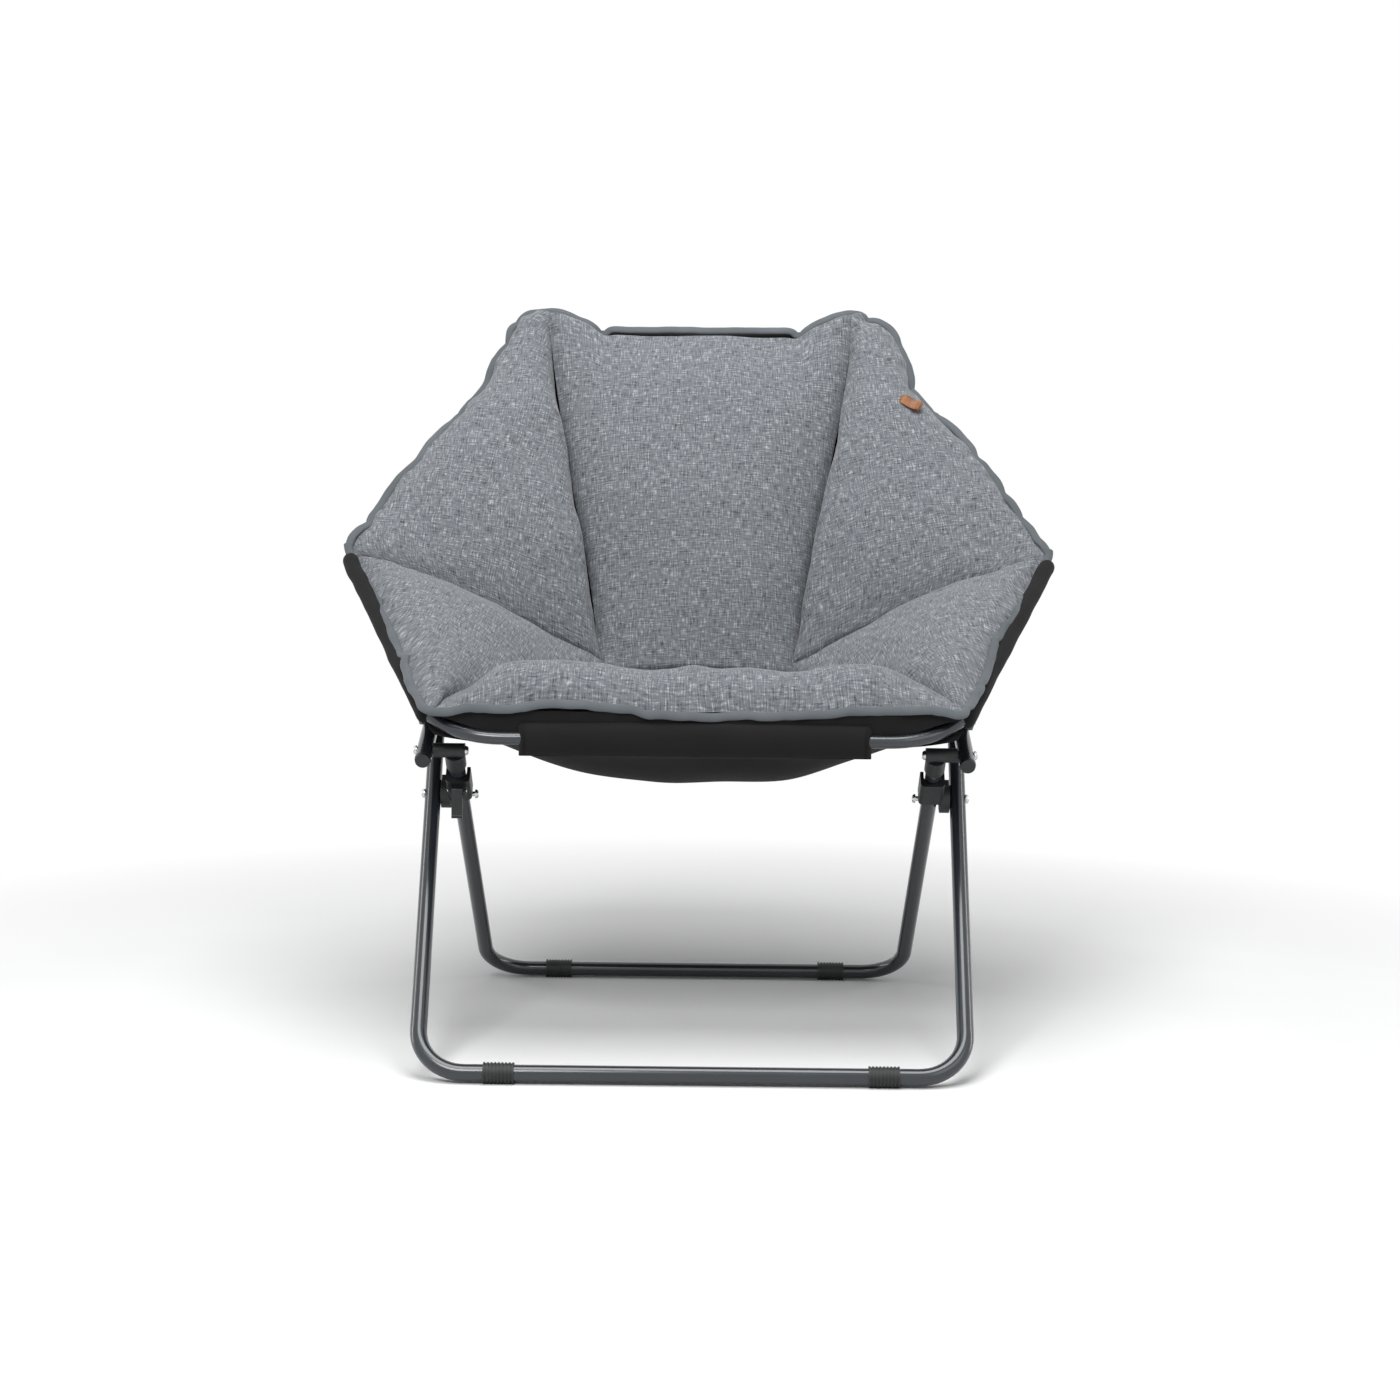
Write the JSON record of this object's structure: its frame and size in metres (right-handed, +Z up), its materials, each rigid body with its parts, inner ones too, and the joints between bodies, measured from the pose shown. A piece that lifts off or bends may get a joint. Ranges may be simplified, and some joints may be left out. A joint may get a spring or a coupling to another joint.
{
  "type": "folding saucer chair",
  "caption": "Folding lounge chair: a cupped, quilted hexagonal seat in grey fabric, slung on a bent tube frame whose crossed legs scissor together.",
  "frame": {"origin": "on the floor, under the middle of the open chair", "axes": "-Y is the front that a sitter faces out of, +Z is up, +X is the right side seen from the front"},
  "size_m": [0.8872, 0.6273, 0.8815],
  "materials": {
    "frame_tube": "dark slate grey powder coat, semi-gloss",
    "plate_steel": "stamped plate, dark slate grey powder coat",
    "bright_steel": "bright plated bolts and pin",
    "black_plastic": "moulded black plastic",
    "sleeve_plastic": "soft black plastic, ribbed",
    "seat_fabric": "mid grey melange weave over padding",
    "under_fabric": "black plain weave"
  },
  "bodies": {
    "leg_front": {"front_leg_frame": "frame_tube", "front_leg_plugs": "black_plastic", "foot_sleeve_front_right": "sleeve_plastic", "foot_sleeve_front_left": "sleeve_plastic", "hinge_block_right": "black_plastic", "hinge_block_left": "black_plastic", "lever_ears": "black_plastic", "lever_pin": "bright_steel", "crossing_bolts": "bright_steel"},
    "lever": {"lock_lever": "black_plastic"},
    "leg_rear": {"rear_leg_frame": "frame_tube", "foot_sleeve_rear_right": "sleeve_plastic", "foot_sleeve_rear_left": "sleeve_plastic", "tee_fitting_right": "black_plastic", "tee_fitting_left": "black_plastic"},
    "back_frame": {"back_frame_tube": "frame_tube", "rail_cap_right": "black_plastic", "rail_cap_left": "black_plastic", "upper_bolts": "bright_steel", "seat_pivot_bolts": "bright_steel", "pivot_spacers": "black_plastic", "back_cushion_centre": "seat_fabric", "back_cushion_right": "seat_fabric", "back_cushion_left": "seat_fabric"},
    "seat_frame": {"seat_frame_tube": "frame_tube", "seat_tip_caps": "black_plastic", "side_plate_right": "plate_steel", "side_plate_left": "plate_steel", "top_pivot_bolts": "bright_steel", "arm_cushion_right": "seat_fabric", "arm_cushion_left": "seat_fabric", "seat_cushion": "seat_fabric", "front_roll": "seat_fabric", "seat_sling": "under_fabric", "front_pocket": "under_fabric"}
  },
  "joints": [
    {"name": "fold", "type": "hinge", "parent": "leg_front", "child": "leg_rear", "pos_m": [0, -0.05185, 0.287], "axis": [-1, 0, 0], "range_deg": [0, 62]},
    {"name": "back_pivot", "type": "hinge", "parent": "leg_rear", "child": "back_frame", "pos_m": [0, -0.1191, 0.34681], "axis": [1, 0, 0], "range_deg": [0, 86]},
    {"name": "seat_pivot", "type": "hinge", "parent": "back_frame", "child": "seat_frame", "pos_m": [0, -0.03491, 0.37862], "axis": [-1, 0, 0], "range_deg": [0, 117], "deforming": ["arm_cushion_right", "arm_cushion_left", "seat_sling"]},
    {"name": "lever_hinge", "type": "hinge", "parent": "leg_front", "child": "lever", "pos_m": [-0.281, -0.09191, 0.29613], "axis": [-1, 0, 0], "range_deg": [0, 20], "stiffness_Nm_per_rad": 0.2}
  ],
  "couplings": [
    {"joint": "back_pivot", "follows": "fold", "ratio": 1.3685},
    {"joint": "seat_pivot", "follows": "fold", "ratio": 1.8647}
  ]
}
